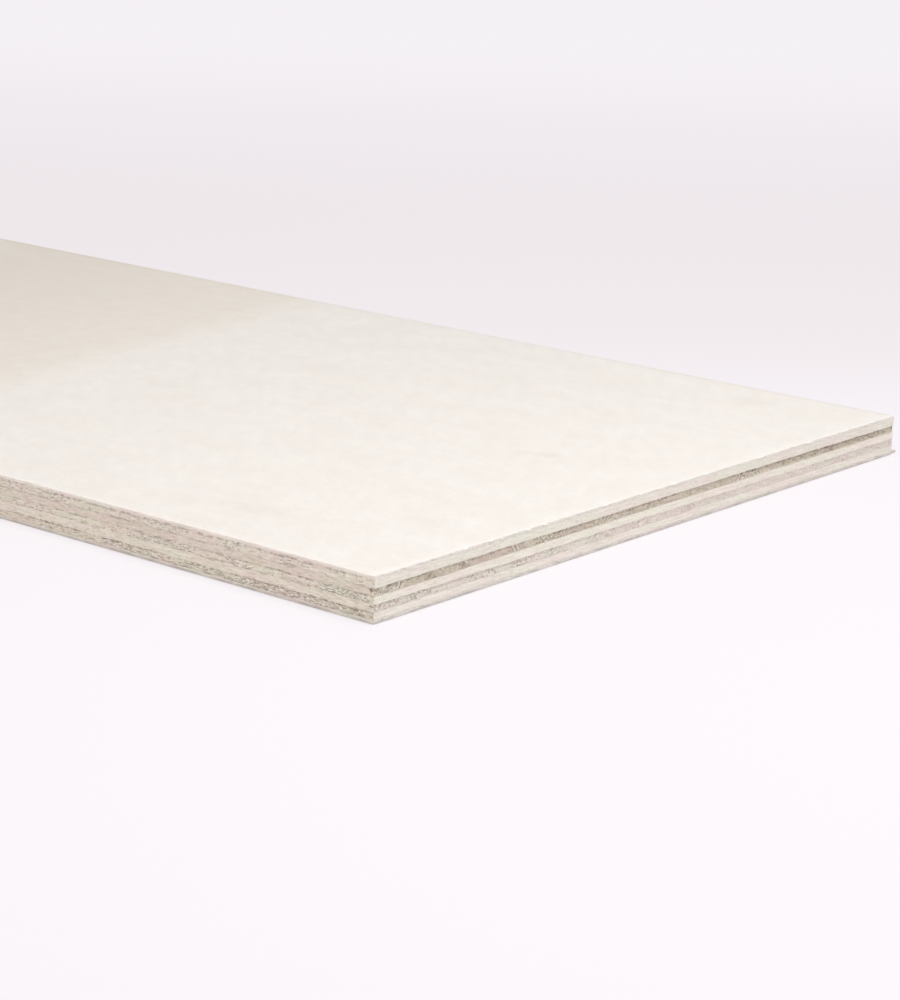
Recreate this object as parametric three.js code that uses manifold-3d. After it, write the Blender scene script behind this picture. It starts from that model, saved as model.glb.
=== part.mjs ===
// A seven-ply poplar plywood sheet, lying flat with its better face up.
// Millimetres, +Z up. The origin is under the middle of the sheet, at the level of its underside.
// +X runs along the length, which is also the grain of the face, +Y across the width.
import * as THREE from 'three';
import { mergeVertices } from 'three/addons/utils/BufferGeometryUtils.js';
import Module from 'manifold-3d';

// The sheet as it leaves the saw.
const SHEET_LENGTH = 600;
const SHEET_WIDTH = 300;

// Each veneer as pressed and sanded, from the underside up.
const BACK_VENEER = 1.3;
const LOWER_CROSSBAND = 2.4;
const LOWER_LONG_PLY = 2.6;
const CENTRE_CROSSBAND = 2.5;
const UPPER_LONG_PLY = 2.6;
const UPPER_CROSSBAND = 2.6;
const FACE_VENEER = 1.0;

// Sandpaper just breaks the sharp edges round both faces.
const ARRIS = 0.25;
const ARRIS_STEPS = 2;

// A sliver of the back veneer that the saw tore instead of cutting. It leaves the long side at its
// root, runs with the grain to the corner, and stands proud there.
const SPLINTER_LENGTH = 16;
const SPLINTER_REACH = 1.9;
const SPLINTER_TIP = 1.1;
const SPLINTER_ROOT = 3;

// A chip that the saw knocked out of the upper long ply where it left the board, at the other corner
// of the same end. It is longer along the grain than across it, and its top is the glue line.
const CHIP_LENGTH = 2.2;
const CHIP_WIDTH = 1;
const CHIP_HEIGHT = 1.4;

// Bare poplar: pale where a veneer is cut along its fibres, darker and rougher across them.
const SANDED_FACE = { color: 0xf2ebe1, roughness: 0.62 };
const SANDED_BACK = { color: 0xcfc6bb, roughness: 0.68 };
const CROSS_GRAIN = { color: 0xe7ddd0, roughness: 0.7 };
const LONG_GRAIN = { color: 0xc6b6a4, roughness: 0.85 };

// The lay-up, from the underside up. The grain turns by a quarter from each ply to the next, so the
// crossbands show their end grain on the long sides and the long plies show it on the short ends.
const LAY_UP = [
  { name: 'back_veneer', thickness: BACK_VENEER, finish: SANDED_BACK },
  { name: 'lower_crossband', thickness: LOWER_CROSSBAND, finish: CROSS_GRAIN },
  { name: 'lower_long_ply', thickness: LOWER_LONG_PLY, finish: LONG_GRAIN },
  { name: 'centre_crossband', thickness: CENTRE_CROSSBAND, finish: CROSS_GRAIN },
  { name: 'upper_long_ply', thickness: UPPER_LONG_PLY, finish: LONG_GRAIN },
  { name: 'upper_crossband', thickness: UPPER_CROSSBAND, finish: CROSS_GRAIN },
  { name: 'face_veneer', thickness: FACE_VENEER, finish: SANDED_FACE },
];

// How high the top of each ply lies.
const PLY_TOPS = LAY_UP.map((ply, i) => {
  const upToHere = LAY_UP.slice(0, i + 1);
  return upToHere.reduce((sum, { thickness }) => sum + thickness, 0);
});
const SPLINTERED = LAY_UP.findIndex(({ name }) => name === 'back_veneer');
const CHIPPED = LAY_UP.findIndex(({ name }) => name === 'upper_long_ply');

// How far a cutting shape stands past the faces that it cuts through.
const OVERCUT = 1;

const wasm = await Module();
wasm.setup();

function toSolid(geometry) {
  const bare = geometry.clone();
  bare.deleteAttribute('normal');
  bare.deleteAttribute('uv');
  const merged = mergeVertices(bare);
  const vertProperties = new Float32Array(merged.attributes.position.array);
  const triVerts = new Uint32Array(merged.index.array);
  return new wasm.Manifold(new wasm.Mesh({ numProp: 3, vertProperties, triVerts }));
}

function toGeometry(solid) {
  const { vertProperties, triVerts } = solid.getMesh();
  const geometry = new THREE.BufferGeometry();
  geometry.setAttribute('position', new THREE.BufferAttribute(vertProperties, 3));
  geometry.setIndex(new THREE.BufferAttribute(triVerts, 1));
  const faceted = geometry.toNonIndexed();
  faceted.computeVertexNormals();
  return faceted;
}

// The whole sheet as one block, pressed, sawn to size, and with its arrises broken.
function sawnSheet(thickness) {
  const outline = new THREE.Shape();
  outline.moveTo(-SHEET_LENGTH / 2, -SHEET_WIDTH / 2);
  outline.lineTo(SHEET_LENGTH / 2, -SHEET_WIDTH / 2);
  outline.lineTo(SHEET_LENGTH / 2, SHEET_WIDTH / 2);
  outline.lineTo(-SHEET_LENGTH / 2, SHEET_WIDTH / 2);
  outline.closePath();
  const block = new THREE.ExtrudeGeometry(outline, {
    depth: thickness - 2 * ARRIS,
    bevelThickness: ARRIS,
    bevelSize: ARRIS,
    bevelOffset: -ARRIS,
    bevelSegments: ARRIS_STEPS,
  });
  block.translate(0, 0, ARRIS);
  return toSolid(block);
}

// The torn sliver, in plan: a thin wedge that widens towards the corner along the long side.
function splinter() {
  const end = SHEET_LENGTH / 2 - ARRIS;
  const side = SHEET_WIDTH / 2;
  const root = end - SPLINTER_LENGTH;
  const outline = new THREE.Shape();
  outline.moveTo(root, side - SPLINTER_ROOT);
  outline.lineTo(end, side - SPLINTER_ROOT);
  outline.lineTo(end, side + SPLINTER_REACH);
  outline.lineTo(end - SPLINTER_TIP, side + SPLINTER_REACH);
  outline.quadraticCurveTo(end - SPLINTER_LENGTH / 2, side, root, side - SPLINTER_ROOT);
  const sliver = new THREE.ExtrudeGeometry(outline, {
    depth: BACK_VENEER - 2 * ARRIS,
    curveSegments: 8,
    bevelEnabled: false,
  });
  sliver.translate(0, 0, ARRIS);
  return toSolid(sliver);
}

// The chip, in plan: a hollow scooped off the corner. The shape stands past the ply at both of its
// open sides and over the glue line, so that it leaves no skin there.
function chip(glueLine) {
  const end = SHEET_LENGTH / 2;
  const side = -SHEET_WIDTH / 2;
  const outline = new THREE.Shape();
  outline.moveTo(end - CHIP_LENGTH, side - OVERCUT);
  outline.lineTo(end + OVERCUT, side - OVERCUT);
  outline.lineTo(end + OVERCUT, side + CHIP_WIDTH);
  outline.lineTo(end, side + CHIP_WIDTH);
  outline.quadraticCurveTo(end - CHIP_LENGTH / 2, side + CHIP_WIDTH, end - CHIP_LENGTH, side);
  const hollow = new THREE.ExtrudeGeometry(outline, {
    depth: CHIP_HEIGHT + OVERCUT,
    curveSegments: 6,
    bevelEnabled: false,
  });
  hollow.translate(0, 0, glueLine - CHIP_HEIGHT);
  return toSolid(hollow);
}

// Parting the block along its glue lines gives neighbours that meet on exactly the same plane.
function partIntoPlies(block) {
  const plies = [];
  let rest = block;
  for (const glueLine of PLY_TOPS.slice(0, -1)) {
    const [above, below] = rest.splitByPlane([0, 0, 1], glueLine);
    plies.push(below);
    rest = above;
  }
  plies.push(rest);
  return plies;
}

function plywoodSheet() {
  const plies = partIntoPlies(sawnSheet(PLY_TOPS.at(-1)));
  plies[SPLINTERED] = plies[SPLINTERED].add(splinter());
  plies[CHIPPED] = plies[CHIPPED].subtract(chip(PLY_TOPS[CHIPPED]));
  const sheet = new THREE.Group();
  plies.forEach((solid, i) => {
    const material = new THREE.MeshStandardMaterial({ ...LAY_UP[i].finish, metalness: 0 });
    const ply = new THREE.Mesh(toGeometry(solid), material);
    ply.name = LAY_UP[i].name;
    sheet.add(ply);
  });
  return sheet;
}

export default plywoodSheet();
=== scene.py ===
import math

import bpy
import numpy as np
from mathutils import Matrix, Vector


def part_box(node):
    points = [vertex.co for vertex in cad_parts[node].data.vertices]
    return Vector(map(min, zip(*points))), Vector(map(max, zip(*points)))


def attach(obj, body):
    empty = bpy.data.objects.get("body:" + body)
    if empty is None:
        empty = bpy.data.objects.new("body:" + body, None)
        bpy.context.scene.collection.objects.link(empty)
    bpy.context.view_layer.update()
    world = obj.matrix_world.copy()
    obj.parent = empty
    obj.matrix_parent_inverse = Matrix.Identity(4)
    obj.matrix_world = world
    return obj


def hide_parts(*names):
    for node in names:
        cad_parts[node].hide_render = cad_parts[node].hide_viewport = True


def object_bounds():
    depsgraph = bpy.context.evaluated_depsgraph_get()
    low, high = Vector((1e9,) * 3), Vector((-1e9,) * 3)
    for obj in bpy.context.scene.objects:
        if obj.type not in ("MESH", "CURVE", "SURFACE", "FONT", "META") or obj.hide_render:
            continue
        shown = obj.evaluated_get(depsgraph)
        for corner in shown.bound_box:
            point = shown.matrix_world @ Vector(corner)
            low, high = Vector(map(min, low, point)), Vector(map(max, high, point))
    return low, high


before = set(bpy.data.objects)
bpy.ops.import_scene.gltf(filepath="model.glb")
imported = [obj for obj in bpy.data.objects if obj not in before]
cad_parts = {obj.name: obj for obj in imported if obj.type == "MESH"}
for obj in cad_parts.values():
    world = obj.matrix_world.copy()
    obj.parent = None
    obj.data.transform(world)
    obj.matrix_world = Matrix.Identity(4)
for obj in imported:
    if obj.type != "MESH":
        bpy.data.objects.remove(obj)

bpy.context.scene.view_settings.view_transform = "Standard"
mm = 0.001
cadLow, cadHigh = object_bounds()
print("frame loaded:", ", ".join(sorted(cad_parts)))


def linearColour(hexText):
    parts = [int(hexText[i:i + 2], 16) / 255 for i in (1, 3, 5)]
    linear = [c / 12.92 if c <= 0.04045 else ((c + 0.055) / 1.055) ** 2.4 for c in parts]
    return (*linear, 1)


# Adds a node with its settings and links and hands back one of its outputs. A value in inputs is a
# constant, a socket to link, or a list of sockets for a joining input.
def addNode(tree, kind, inputs=None, output=0, **settings):
    node = tree.nodes.new(kind if "Node" in kind else "ShaderNode" + kind)
    for key, value in settings.items():
        setattr(node, key, value)
    for key, value in (inputs or {}).items():
        for source in value if isinstance(value, list) else [value]:
            if isinstance(source, bpy.types.NodeSocket):
                tree.links.new(source, node.inputs[key])
            else:
                node.inputs[key].default_value = source
    return node.outputs[output] if len(node.outputs) else node


mixA, mixB, mixOut = 6, 7, 2  # the colour sockets of a Mix node
soft = {"interpolation_type": "SMOOTHSTEP"}  # what makes a MapRange ease in and out


def newMaterial(name):
    material = bpy.data.materials.new(name)
    material.use_nodes = True
    tree = material.node_tree
    return material, tree, tree.nodes["Principled BSDF"]


# Lays colours over a base, one after another. A coat is its mask, how strongly it shows, and its colour.
def coated(tree, base, coats):
    for mask, strength, colour in coats:
        share = addNode(tree, "Math", {0: mask, 1: strength}, operation="MULTIPLY", use_clamp=True)
        base = addNode(tree, "Mix", {0: share, mixA: base, mixB: linearColour(colour)}, output=mixOut,
                       data_type="RGBA")
    return base


# The camera stands low, off one corner, a little rolled.
cameraLook = {
    "place": (0.80605, -0.75744, 0.25128),
    "azimuth": 38.27,
    "elevation": 15.04,
    "roll": 2.22,
    "lens": 101.4,
}


def addCamera(look):
    data = bpy.data.cameras.new("camera")
    data.sensor_width = 36
    data.lens = look["lens"]
    data.clip_start = 0.02
    data.clip_end = 60
    camera = bpy.data.objects.new("camera", data)
    turn = Matrix.Rotation(math.radians(look["azimuth"]), 4, "Z")
    tilt = Matrix.Rotation(math.radians(90 - look["elevation"]), 4, "X")
    roll = Matrix.Rotation(math.radians(look["roll"]), 4, "Z")
    camera.matrix_world = Matrix.Translation(look["place"]) @ turn @ tilt @ roll
    bpy.context.collection.objects.link(camera)
    bpy.context.scene.camera = camera


# A white tent, a broad soft sun, and one softbox over the near end.
studio = {
    "tent": 0.59,
    "sunPower": 0.68,
    "sunFrom": (0.9, -1.1, 1.6),
    "sunSoftness": 50,
    "boxPlace": (0.54, -0.09, 0.72),
    "boxAim": (0.32, 0.0, 0.0),
    "boxSize": 0.45,
    "boxPower": 2.6,
    "floorColour": "#F9F6FA",
    "floorGlow": "#F7F2F5",       # much of what the camera sees of the floor, so shadows on it stay light
    "floorGlowFarShade": "#F0E8EB",    # painted shade: the glow darker behind the sheet, where the light on the sweep falls off
    "floorGlowShare": 0.66,
    "wallGlow": "#FFFBFE",        # painted light: further off still the glow climbs, as towards a lit wall
    "sweepWay": (-0.62, 0.785, 0.0),
    "sweepFrom": -0.1,            # metres past the middle of the sheet, along sweepWay
    "sweepTo": 0.15,
    "wallFrom": 0.26,
    "wallTo": 1.4,
    "floorHalf": 12.0,
    "floorGap": 0.2 * mm,
}


def addLamp(name, data, place, target):
    lamp = bpy.data.objects.new(name, data)
    lamp.location = place
    lamp.rotation_mode = "QUATERNION"
    lamp.rotation_quaternion = (Vector(place) - Vector(target)).to_track_quat("Z", "Y")
    lamp.visible_camera = False
    bpy.context.collection.objects.link(lamp)


def addLights(look):
    world = bpy.data.worlds.new("tent")
    world.use_nodes = True
    world.node_tree.nodes["Background"].inputs["Color"].default_value = (1, 1, 1, 1)
    world.node_tree.nodes["Background"].inputs["Strength"].default_value = look["tent"]
    bpy.context.scene.world = world
    sun = bpy.data.lights.new("sun", "SUN")
    sun.energy = look["sunPower"]
    sun.angle = math.radians(look["sunSoftness"])
    addLamp("sun", sun, look["sunFrom"], (0, 0, 0))
    box = bpy.data.lights.new("softbox", "AREA")
    box.size = look["boxSize"]
    box.energy = look["boxPower"]
    addLamp("softbox", box, look["boxPlace"], look["boxAim"])


def addFloor(look):
    half = look["floorHalf"]
    z = -look["floorGap"]
    mesh = bpy.data.meshes.new("floor")
    corners = [(-half, -half, z), (half, -half, z), (half, half, z), (-half, half, z)]
    mesh.from_pydata(corners, [], [(0, 1, 2, 3)])
    floor = bpy.data.objects.new("floor", mesh)
    bpy.context.collection.objects.link(floor)
    paint, tree, shader = newMaterial("paleFloor")
    shader.inputs["Base Color"].default_value = linearColour(look["floorColour"])
    shader.inputs["Roughness"].default_value = 0.9
    shader.inputs["Specular IOR Level"].default_value = 0.0
    ray = addNode(tree, "LightPath").node.outputs
    seen = addNode(tree, "Math", {0: ray["Is Camera Ray"], 1: ray["Is Glossy Ray"]}, operation="MAXIMUM")
    seen = addNode(tree, "Math", {0: seen, 1: ray["Is Transmission Ray"]}, operation="MAXIMUM")
    share = addNode(tree, "Math", {0: seen, 1: look["floorGlowShare"]}, operation="MULTIPLY")
    # painted shade and light on the floor the camera sees: its glow darkens behind the sheet and brightens
    # again far off
    way = addNode(tree, "VectorMath", {
        0: addNode(tree, "TexCoord", output=3), 1: look["sweepWay"]}, output=1, operation="DOT_PRODUCT")
    back, wall = [addNode(tree, "MapRange", {
        "Value": way, "From Min": look[start], "From Max": look[end]}, **soft)
        for start, end in (("sweepFrom", "sweepTo"), ("wallFrom", "wallTo"))]
    glow = coated(tree, linearColour(look["floorGlow"]), [
        (back, 1.0, look["floorGlowFarShade"]), (wall, 1.0, look["wallGlow"])])
    glow = addNode(tree, "Emission", {"Color": glow, "Strength": 1.0})
    mixed = addNode(tree, "MixShader", {0: share, 1: shader.outputs[0], 2: glow})
    tree.links.new(mixed, tree.nodes["Material Output"].inputs["Surface"])
    mesh.materials.append(paint)


addCamera(cameraLook)
addLights(studio)
addFloor(studio)
print("camera, studio and floor set")


# Patterns, in millimetres. The same ones shape the sawn edges and colour them.
# point is (run round the outline, height, ply seed) on an edge, or x, y, z on a face.
# size is the length of one feature along the edge or the grain, and its height or width.
# A seed only shifts the pattern.
def placedAt(tree, point, size, offset):
    if not isinstance(size, bpy.types.NodeSocket):
        size = (*size, 1)
    scaled = addNode(tree, "VectorMath", {0: point, 1: size}, operation="DIVIDE")
    return addNode(tree, "VectorMath", {0: scaled, 1: (*offset, 0)})


def grainNoise(tree, point, size, seed, detail=2.0, roughness=0.5):
    placed = placedAt(tree, point, size, (seed * 7.13, seed * 3.71))
    return addNode(tree, "TexNoise", {
        "Vector": placed, "Scale": 1.0, "Detail": detail, "Roughness": roughness})


# The same, with its values between the two of span drawn out to the two of onto.
def spannedNoise(tree, point, size, seed, span, onto=(0.0, 1.0), detail=2.0, roughness=0.5, ramp="LINEAR"):
    return addNode(tree, "MapRange", {
        "Value": grainNoise(tree, point, size, seed, detail, roughness),
        "From Min": span[0], "From Max": span[1], "To Min": onto[0], "To Max": onto[1]},
        interpolation_type=ramp)


# Noise that runs softly all the way from 0 to 1.
def strongNoise(tree, point, size, seed):
    return spannedNoise(tree, point, size, seed, (0.36, 0.64), detail=3.0, ramp="SMOOTHSTEP")


# 1 inside scattered spots and 0 between them; fill is how much of its cell a spot may take.
def spots(tree, point, size, seed, fill):
    placed = placedAt(tree, point, size, (seed * 5.37, seed * 9.11))
    distance = addNode(tree, "TexVoronoi", {"Vector": placed, "Scale": 1.0})
    return addNode(tree, "MapRange", {
        "Value": distance, "From Min": fill * 0.4, "From Max": fill, "To Min": 1.0, "To Max": 0.0}, **soft)


# The marks of the saw that all plies share, in millimetres unless it says otherwise.
sawMarks = {
    "leanSize": (7.0, 1.0), "lean": (-3.0, 3.0),    # how soon torn marks lean the other way, and how far
    "tearHelp": 0.12,                    # how much a torn stretch adds to the noise of the wounds
    "woundFrom": 0.6, "woundTo": 0.7,    # the noise where a wound begins and where it is deepest
    "hollow": (0.25, 0.55),              # how deep a gouge is where its painted shade begins and where it is darkest
    "lifted": (-0.05, -0.3),             # the same for a lifted fibre and its paler colour
    "gougeFlat": 1.3,                    # more than 1 gives a gouge a flat bottom
    "rutSize": (9.0, 2.0), "rutFrom": 0.66, "rutTo": 0.86,       # here a height is a share of the ply
    "grooveFrom": 0.85, "nickSize": (5.0, 3.0), "nick": 2.0,     # at a nick the groove is twice as deep
    "streakSize": (30.0, 0.5),
    "edgeFrom": 0.4 * mm, "edgeTo": 0.3 * mm,    # what lies further in than this is no edge
    "fibreLeast": (0.05, -0.9, -1.0),    # how a fibre leans at least: outwards, along the edge and up
    "fibreMost": (0.45, 0.9, 1.0),
    "fibreSizes": (0.4, 1.3),
    "fewFibres": 0.15,                   # the share of its fibres that a ply has where nothing is torn
    "slowSwings": 14, "quickSwings": 110,        # of a seam, in a metre
}


# The same point, pushed along the edge by its height in the ply, so that torn marks lean now this way,
# now that.
def leaned(tree, run, rise, level, seed):
    along = addNode(tree, "CombineXYZ", {0: run, 2: seed})
    lean = spannedNoise(tree, along, sawMarks["leanSize"], 14, (0.35, 0.65), sawMarks["lean"])
    middle = addNode(tree, "Math", {0: level, 1: 0.5}, operation="SUBTRACT")
    pushed = addNode(tree, "Math", {0: lean, 1: middle, 2: run}, operation="MULTIPLY_ADD")
    return addNode(tree, "CombineXYZ", {0: pushed, 1: rise, 2: seed})


# Small marks of a noise that comes through more where the edge is torn.
def wounds(tree, point, size, seed, torn):
    raised = addNode(tree, "Math", {
        0: torn, 1: sawMarks["tearHelp"], 2: grainNoise(tree, point, size, seed, 3.0)},
        operation="MULTIPLY_ADD")
    return addNode(tree, "MapRange", {
        "Value": raised, "From Min": sawMarks["woundFrom"], "From Max": sawMarks["woundTo"]}, **soft)


# The blank for one ply has fine rings up its sawn edge and plain flats inside them.
blank = {
    "coarse": 10 * mm,       # spacing of the points that carry the flats
    "finePerCoarse": 28,     # fine steps in each, so about a third of a millimetre
    "flatInset": 5 * mm,
    "rowHeight": 0.32 * mm,
    "underArris": 0.1 * mm,     # how far sandpaper broke the sharp edges of the back and the face
    "overArris": 0.55 * mm,
    # the shapes of both, in shares of them: how far from the flat and how far in from the edge
    "underShape": [(0.0, 1.0), (0.4, 0.4)],
    "overShape": [(0.55, 0.12), (0.2, 0.4), (0.0, 1.0)],
    "cornerWear": (0.1, 0.3),   # least and most worn off the upright corners, in millimetres
    "cornerReach": 0.45,        # and how far from the corner
    "sharpAngle": 50,           # degrees; softer edges than this are shaded smooth
}
halfLength, halfWidth = cadHigh[0], -cadLow[1]
cornerRuns = np.cumsum([0, 2 * halfLength, 2 * halfWidth, 2 * halfLength]) / mm


# Evenly spaced points round the sheet, from the corner at low x and y and along the long side first.
def outline(stepsLong, stepsWide, inset=0.0):
    corners = np.array([(-1, -1), (1, -1), (1, 1), (-1, 1), (-1, -1)]) * (halfLength, halfWidth)
    points = np.concatenate([
        np.linspace(start, end, steps, endpoint=False)
        for start, end, steps in zip(corners, corners[1:], (stepsLong, stepsWide) * 2)])
    limit = np.array([halfLength - inset, halfWidth - inset])
    return np.clip(points, -limit, limit)


# Heights and insets of the rings, from the underside of a ply to its top.
def ringLevels(low, high, lowest, highest):
    under, over = blank["underArris"] * lowest, blank["overArris"] * highest
    bottom, top = low + under, high - over
    rows = round((top - bottom) / blank["rowHeight"])
    levels = [(bottom + (top - bottom) * i / rows, 0.0) for i in range(rows + 1)]
    if lowest:
        levels = [(low + up * under, inset * under) for up, inset in blank["underShape"]] + levels
    if highest:
        levels += [(high - down * over, inset * over) for down, inset in blank["overShape"]]
    return levels


# A value for each fine step of the outline, repeated for every ring and thinned out for the two flats.
def onEveryRing(values, rings):
    return np.concatenate([np.tile(values, rings), np.tile(values[::blank["finePerCoarse"]], 2)])


def plyBlank(name, levels, look):
    fine = blank["finePerCoarse"]
    coarseLong = round(2 * halfLength / blank["coarse"])
    coarseWide = round(2 * halfWidth / blank["coarse"])
    stepsLong, stepsWide = coarseLong * fine, coarseWide * fine
    count = 2 * (stepsLong + stepsWide)
    coarseCount = count // fine
    low, high = levels[0][0], levels[-1][0]
    flat = outline(coarseLong, coarseWide, blank["flatInset"])
    points = [np.column_stack([outline(stepsLong, stepsWide, inset), np.full(count, height)])
              for height, inset in levels]
    points += [np.column_stack([flat, np.full(coarseCount, height)]) for height in (low, high)]
    points = np.concatenate(points)
    here = np.arange(count)
    after = (here + 1) % count
    faces = []
    for row in range(len(levels) - 1):
        a, b = row * count, (row + 1) * count
        faces += np.column_stack([a + here, a + after, b + after, b + here]).tolist()
    wallCount = len(faces)
    top = (len(levels) - 1) * count
    inside = len(levels) * count
    # a fan joins each fine rim to its coarse inner ring, and one flat face fills the ring
    near = (here + fine // 2) // fine % coarseCount
    last = here[here % fine == fine // 2 - 1]
    for rim, inner, way in ((0, inside, -1), (top, inside + coarseCount, 1)):
        fan = np.column_stack([rim + here, rim + after, inner + near])
        beyond = inner + (near[last] + 1) % coarseCount
        gap = np.column_stack([rim + last + 1, beyond, inner + near[last]])
        faces += fan[:, ::way].tolist() + gap[:, ::way].tolist()
        faces.append((inner + np.arange(coarseCount))[::way].tolist())
    mesh = bpy.data.meshes.new(name)
    mesh.from_pydata(points.tolist(), [], faces)

    # run is measured in millimetres round the outline, rise up from the underside of the sheet
    run = np.arange(count + 1) * blank["coarse"] / fine / mm
    rises = [height / mm for height, inset in levels]
    addAttributes(mesh, "POINT", {
        "run": onEveryRing(run[:-1], len(levels)),
        "rise": points[:, 2] / mm,
        "level": (points[:, 2] - low) / (high - low),
        "gouge": gougeDepth(run[:-1], rises, look["gouges"], 2 * coarseCount),
        "torn": onEveryRing(tornStretches(run[:-1], look), len(levels)),
    })
    # the four sides are counted from 0, and the odd ones are the short ends
    sides = np.searchsorted(np.cumsum([stepsLong, stepsWide, stepsLong]), here, side="right")
    onEnd = np.tile(sides % 2, len(levels) - 1)
    flats = np.zeros(len(faces) - wallCount)
    addAttributes(mesh, "FACE", {
        "wall": np.concatenate([np.ones(wallCount), flats]),
        "shortEnd": np.concatenate([onEnd, flats]),
        "endGrain": np.concatenate([onEnd if look["grainAlong"] else 1 - onEnd, flats]),
    })
    # the edge map repeats run and rise at each corner of a wall face, so that it never wraps back
    edgeMap = np.zeros((len(mesh.loops), 2), np.float32)
    for row in range(len(levels) - 1):
        corners = slice(row * count * 4, (row + 1) * count * 4)
        edgeMap[corners, 0] = np.column_stack([run[:-1], run[1:], run[1:], run[:-1]]).ravel()
        edgeMap[corners, 1] = np.tile([rises[row], rises[row], rises[row + 1], rises[row + 1]], count)
    mesh.uv_layers.new(name="edge").data.foreach_set("uv", edgeMap.ravel())
    return mesh


# Where the saw tore the edge. A ply lists the torn stretches of the near end and the side next to it; the
# rest of the outline gets random ones of the same sort.
tears = {
    "listed": (400, 900),        # the run, in millimetres, that a ply's own list covers
    "count": 60,
    "halfLengths": (4, 16),
    "strengths": (0.2, 1.0),     # how badly, as a share of the ply's tornLevel
    "between": 0.25,             # the same between the stretches
    "steepness": 1.6,            # 1 has a soft peak, and more has a longer worst part and steeper ends
}


def tornStretches(run, look):
    rng = np.random.default_rng(round(look["seed"] * 10))
    random = [(rng.uniform(0, run[-1]), rng.uniform(*tears["halfLengths"]),
               rng.uniform(*tears["strengths"]) * look["tornLevel"]) for i in range(tears["count"])]
    first, last = tears["listed"]
    random = [stretch for stretch in random if not first < stretch[0] < last]
    torn = np.full_like(run, tears["between"] * look["tornLevel"])
    for place, half, strength in look["tornAt"] + random:
        bump = tears["steepness"] * (1 - ((run - place) / half) ** 2)
        torn = np.maximum(torn, strength * np.clip(bump, 0, 1))
    return torn


# Single wounds in an edge: where each is (run, rise), its half length, half height, lean and depth in mm.
# A negative depth is a lifted fibre. The rest are the points of the flats, which have none.
# The upright corners of the sheet are worn unevenly too.
def gougeDepth(run, rises, gouges, rest):
    rng = np.random.default_rng(round(rises[0] * 10))
    across, up = np.meshgrid(run, rises)
    total = np.zeros_like(across)
    for corner in cornerRuns:
        wear = rng.uniform(*blank["cornerWear"], (len(rises), 1))
        total += wear * np.exp(-((across - corner) / blank["cornerReach"]) ** 2)
    for place, rise, halfLong, halfHigh, lean, depth in gouges:
        along = (across - place - lean * (up - rise)) / halfLong
        shape = sawMarks["gougeFlat"] - along ** 2 - ((up - rise) / halfHigh) ** 2
        total += depth * np.clip(shape, 0, 1)
    return np.concatenate([total.ravel(), np.zeros(rest)])


def addAttributes(mesh, domain, named):
    for name, values in named.items():
        attribute = mesh.attributes.new(name, "FLOAT", domain)
        attribute.data.foreach_set("value", np.asarray(values, np.float32))


# One tree saws every ply: it roughens the edge and leaves torn fibres standing on the end grain.
sawnInputs = {
    "Grain Along": "Bool", "Seed": "Float",
    "Low Seam": "Float", "Low Wander": "Float", "Low Sag": "Float",
    "High Seam": "Float", "High Wander": "Float", "High Sag": "Float",
    "Fuzz Size": "Vector", "Fuzz Depth": "Float", "Pit Size": "Vector", "Pit Depth": "Float",
    "Rut Depth": "Float", "Streak Depth": "Float", "Groove Depth": "Float",
    "Fibres": "Float", "Fibre Length": "Float", "Fibre Width": "Float",
    "Edge Material": "Material", "Flat Material": "Material",
}


# How far a seam strays up or down at a place on the sheet, in millimetres.
def seamWander(tree, seam, amount, sag):
    place = addNode(tree, "GeometryNodeInputPosition")
    level = addNode(tree, "CombineXYZ", {2: seam})
    slow, quick = [addNode(tree, "TexNoise", {
        "Vector": addNode(tree, "VectorMath", {0: place, 1: (swings, swings, 0), 2: level},
                          operation="MULTIPLY_ADD"),
        "Scale": 1.0, "Detail": 1.0}) for swings in (sawMarks["slowSwings"], sawMarks["quickSwings"])]
    # the quick swings are half as strong, and 0.75 is the middle of both together
    both = addNode(tree, "Math", {0: quick, 1: 0.5, 2: slow}, operation="MULTIPLY_ADD")
    centred = addNode(tree, "Math", {0: both, 1: 0.75}, operation="SUBTRACT")
    return addNode(tree, "Math", {0: centred, 1: amount, 2: sag}, operation="MULTIPLY_ADD")


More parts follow.
